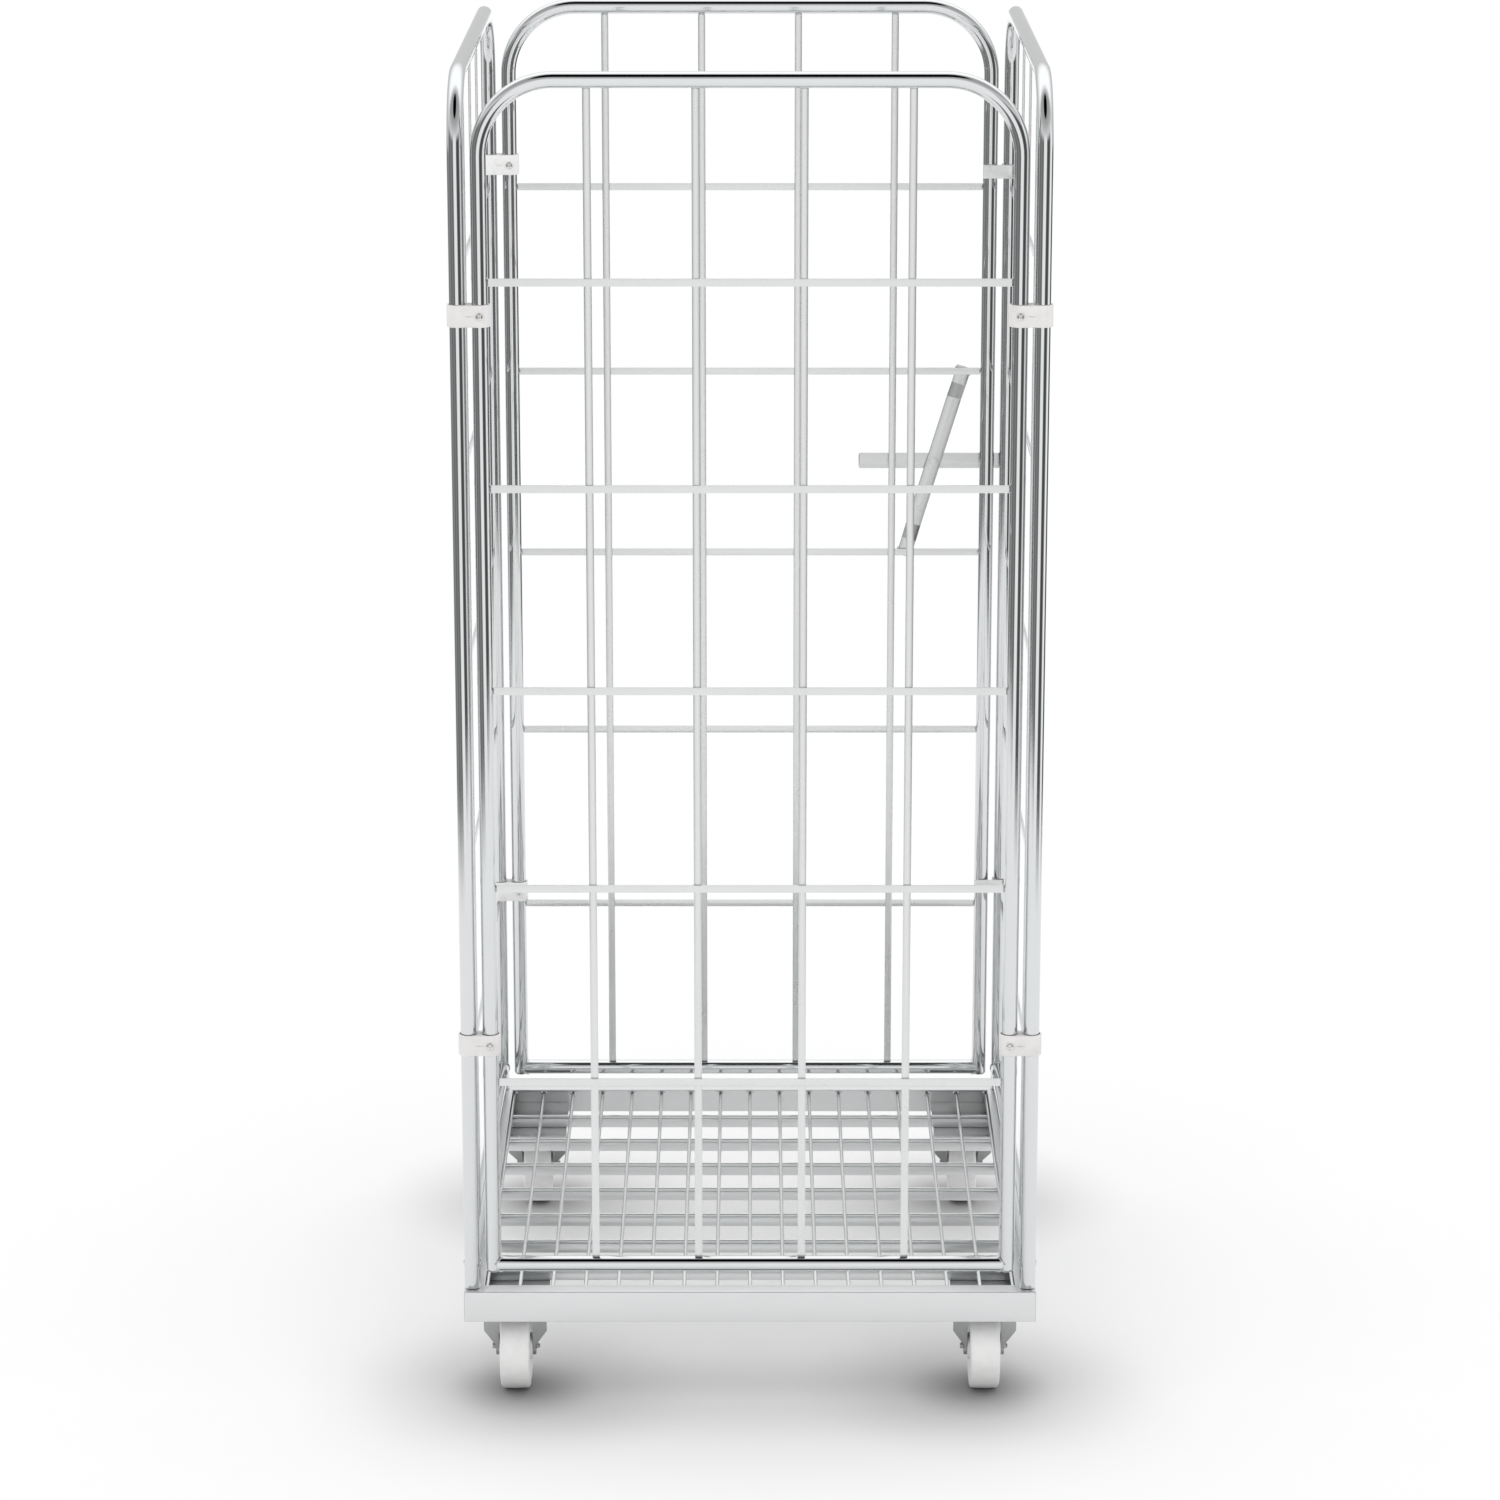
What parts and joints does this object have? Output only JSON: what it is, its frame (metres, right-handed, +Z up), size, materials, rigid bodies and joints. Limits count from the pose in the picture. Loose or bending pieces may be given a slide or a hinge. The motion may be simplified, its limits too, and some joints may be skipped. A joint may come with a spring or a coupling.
{
  "type": "mesh roll cage",
  "caption": "Tall open-topped wire mesh cage on castors, with fixed mesh walls, a hinged mesh door, a turning bar latch and a wire deck.",
  "frame": {"origin": "on the floor, under the middle of the base", "axes": "+Z up; +X to the right seen from the fixed front wall; +Y from the front wall to the door"},
  "size_m": [0.7256, 0.8, 1.682],
  "materials": {
    "zinc_tube": "bright zinc plated round tube",
    "zinc_flat": "satin zinc plated flat bar",
    "zinc_base": "satin zinc plated angle and wire",
    "zinc_castor": "zinc plated pressed steel",
    "bolt_steel": "plain bright steel",
    "wheel_plastic": "off-white moulded plastic",
    "clip_plastic": "pale warm grey moulded plastic"
  },
  "bodies": {
    "cage": {"base_rail_front": "zinc_base", "base_rail_left": "zinc_base", "base_rail_rear": "zinc_base", "base_rail_right": "zinc_base", "deck_bar_1": "zinc_base", "deck_bar_2": "zinc_base", "deck_bar_3": "zinc_base", "deck_bar_4": "zinc_base", "deck_bar_5": "zinc_base", "deck_bar_6": "zinc_base", "deck_bar_7": "zinc_base", "deck_mesh": "zinc_base", "door_stop_bottom": "zinc_flat", "door_stop_top": "zinc_flat", "fixed_castor_bracket_left": "zinc_castor", "fixed_castor_bracket_right": "zinc_castor", "front_axle_left": "bolt_steel", "front_axle_right": "bolt_steel", "front_clip_left_bottom": "clip_plastic", "front_clip_left_bottom_screw": "bolt_steel", "front_clip_left_top": "clip_plastic", "front_clip_left_top_screw": "bolt_steel", "front_clip_right_bottom": "clip_plastic", "front_clip_right_bottom_screw": "bolt_steel", "front_clip_right_top": "clip_plastic", "front_clip_right_top_screw": "bolt_steel", "front_wall_bottom_tube": "zinc_tube", "front_wall_frame_tube": "zinc_tube", "front_wall_grid": "zinc_flat", "kingpin_left": "bolt_steel", "kingpin_right": "bolt_steel", "latch_keeper": "zinc_flat", "left_wall_bottom_tube": "zinc_tube", "left_wall_frame_tube": "zinc_tube", "left_wall_grid": "zinc_flat", "right_wall_bottom_tube": "zinc_tube", "right_wall_frame_tube": "zinc_tube", "right_wall_grid": "zinc_flat", "swivel_plate_left": "zinc_castor", "swivel_plate_right": "zinc_castor"},
    "door": {"door_bottom_tube": "zinc_tube", "door_frame_tube": "zinc_tube", "door_grid": "zinc_flat", "door_hinge_clip_bottom": "clip_plastic", "door_hinge_clip_bottom_screw": "bolt_steel", "door_hinge_clip_top": "clip_plastic", "door_hinge_clip_top_screw": "bolt_steel", "latch_bridge": "zinc_flat", "latch_rivet": "bolt_steel"},
    "latch_bar": {"latch_bar": "zinc_flat"},
    "swivel_left": {"rear_axle_left": "bolt_steel", "swivel_fork_left": "zinc_castor"},
    "swivel_right": {"rear_axle_right": "bolt_steel", "swivel_fork_right": "zinc_castor"},
    "wheel_front_left": {"front_wheel_left": "wheel_plastic"},
    "wheel_front_right": {"front_wheel_right": "wheel_plastic"},
    "wheel_rear_left": {"rear_wheel_left": "wheel_plastic"},
    "wheel_rear_right": {"rear_wheel_right": "wheel_plastic"}
  },
  "joints": [
    {"name": "door_hinge", "type": "hinge", "parent": "cage", "child": "door", "pos_m": [-0.35, 0.382, 0.45], "axis": [0, 0, 1], "range_deg": [0, 215]},
    {"name": "latch_turn", "type": "hinge", "parent": "door", "child": "latch_bar", "pos_m": [0.251, 0.382, 1.0529], "axis": [0, -1, 0], "range_deg": [-12, 75]},
    {"name": "castor_swivel_left", "type": "hinge", "parent": "cage", "child": "swivel_left", "pos_m": [-0.298, 0.305, 0.11], "axis": [0, 0, 1], "continuous": true},
    {"name": "front_wheel_turn_left", "type": "hinge", "parent": "cage", "child": "wheel_front_left", "pos_m": [-0.298, -0.34, 0.054], "axis": [1, 0, 0], "continuous": true},
    {"name": "rear_wheel_turn_left", "type": "hinge", "parent": "swivel_left", "child": "wheel_rear_left", "pos_m": [-0.298, 0.34, 0.054], "axis": [1, 0, 0], "continuous": true},
    {"name": "castor_swivel_right", "type": "hinge", "parent": "cage", "child": "swivel_right", "pos_m": [0.298, 0.305, 0.11], "axis": [0, 0, 1], "continuous": true},
    {"name": "front_wheel_turn_right", "type": "hinge", "parent": "cage", "child": "wheel_front_right", "pos_m": [0.298, -0.34, 0.054], "axis": [1, 0, 0], "continuous": true},
    {"name": "rear_wheel_turn_right", "type": "hinge", "parent": "swivel_right", "child": "wheel_rear_right", "pos_m": [0.298, 0.34, 0.054], "axis": [1, 0, 0], "continuous": true}
  ]
}
